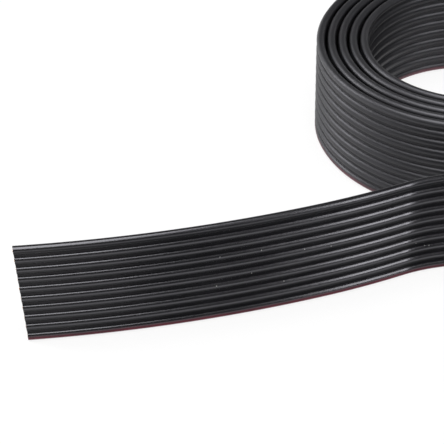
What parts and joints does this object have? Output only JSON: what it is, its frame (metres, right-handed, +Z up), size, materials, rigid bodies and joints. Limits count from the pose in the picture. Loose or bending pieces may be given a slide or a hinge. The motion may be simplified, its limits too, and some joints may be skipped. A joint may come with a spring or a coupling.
{
  "type": "ribbon cable",
  "caption": "Flat ribbed ribbon cable standing on edge, wound in a loose roll with a free tail that ends in a bare slanted cut.",
  "frame": {"origin": "on the surface that the cable stands on, at the axis of the roll", "axes": "+Z up along the roll's axis and across the width of the cable, +X to the right towards the side where the tail leaves the roll, -Y to the front where the tail passes the roll"},
  "size_m": [0.072, 0.0604, 0.0124],
  "materials": {
    "jacket": "satin black flexible PVC",
    "conductor": "tinned copper strands"
  },
  "bodies": {
    "root": {"jacket_roll": "jacket", "jacket_tail": "jacket", "conductor_1": "conductor", "conductor_2": "conductor", "conductor_3": "conductor", "conductor_4": "conductor", "conductor_5": "conductor", "conductor_6": "conductor", "conductor_7": "conductor", "conductor_8": "conductor", "conductor_9": "conductor", "conductor_10": "conductor"}
  },
  "joints": []
}
